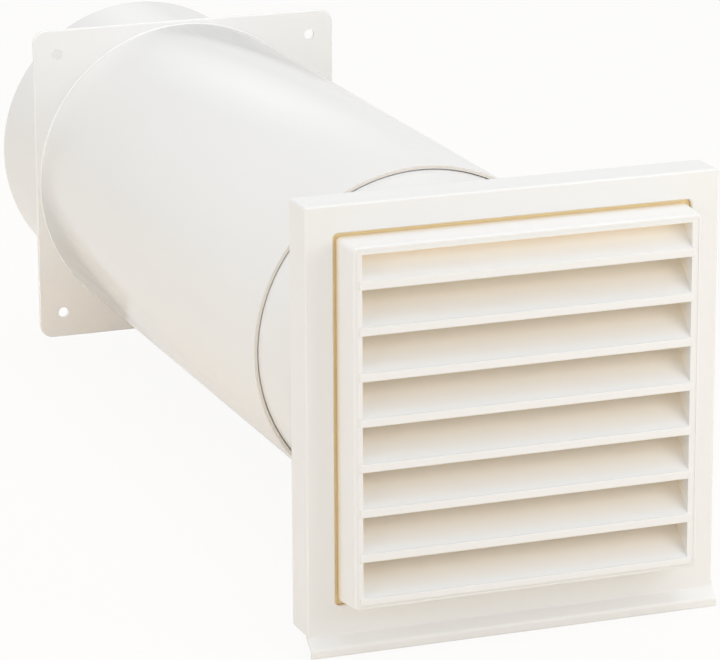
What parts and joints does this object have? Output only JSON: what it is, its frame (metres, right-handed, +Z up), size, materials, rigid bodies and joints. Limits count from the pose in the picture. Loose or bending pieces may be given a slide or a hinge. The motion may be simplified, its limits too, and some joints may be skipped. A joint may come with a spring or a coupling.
{
  "type": "telescopic wall vent",
  "caption": "Through-wall air vent: louvred outside grille in a square frame with a drip lip, sliding round pipes, and an inside wall plate whose round spigot holds a split flap damper.",
  "frame": {"origin": "on the duct axis, in the face of the inside wall plate that lies against the wall", "axes": "+Z up; the duct runs along Y, the louvred grille faces -Y, the duct spigot leaves along +Y; +X is to the right of someone who looks at the grille"},
  "size_m": [0.184, 0.5317, 0.1916],
  "materials": {
    "white_gloss": "smooth glossy white uPVC",
    "white_satin": "satin white moulded plastic",
    "white_inner": "matt white moulded plastic",
    "seal_rubber": "matt black rubber",
    "foam_strip": "closed-cell dark grey foam",
    "screen_mesh": "light grey coated mesh",
    "pin_steel": "drawn stainless steel"
  },
  "bodies": {
    "root": {"wall_plate": "white_gloss", "outer_pipe": "white_gloss", "damper_ring": "white_inner", "damper_seal": "seal_rubber", "hinge_pin": "pin_steel"},
    "seal": {"pipe_seal": "seal_rubber"},
    "grille": {"inner_pipe": "white_gloss", "grille_frame": "white_satin", "frame_collar": "white_satin", "frame_gasket": "foam_strip", "screen_ring": "white_inner", "insect_screen": "screen_mesh"},
    "insert": {"louvre_surround": "white_satin", "louvre_panel": "white_satin"},
    "left_flap": {"flap_left": "white_inner", "flap_spring_left": "pin_steel"},
    "right_flap": {"flap_right": "white_inner", "flap_spring_right": "pin_steel"}
  },
  "joints": [
    {"name": "telescope", "type": "slide", "parent": "root", "child": "seal", "axis": [0, -1, 0], "range_m": [-0.086, 0.12]},
    {"name": "grille_turn", "type": "hinge", "parent": "seal", "child": "grille", "pos_m": [0, -0.4175, 0], "axis": [0, -1, 0], "continuous": true},
    {"name": "insert_pull", "type": "slide", "parent": "grille", "child": "insert", "axis": [0, -1, 0], "range_m": [0, 0.03]},
    {"name": "left_flap_hinge", "type": "hinge", "parent": "root", "child": "left_flap", "pos_m": [0, 0.0297, 0], "axis": [0, 0, 1], "range_deg": [0, 75], "stiffness_Nm_per_rad": 0.01, "springref_deg": -17.19},
    {"name": "right_flap_hinge", "type": "hinge", "parent": "root", "child": "right_flap", "pos_m": [0, 0.0297, 0], "axis": [0, 0, -1], "range_deg": [0, 75], "stiffness_Nm_per_rad": 0.01, "springref_deg": -17.19}
  ]
}
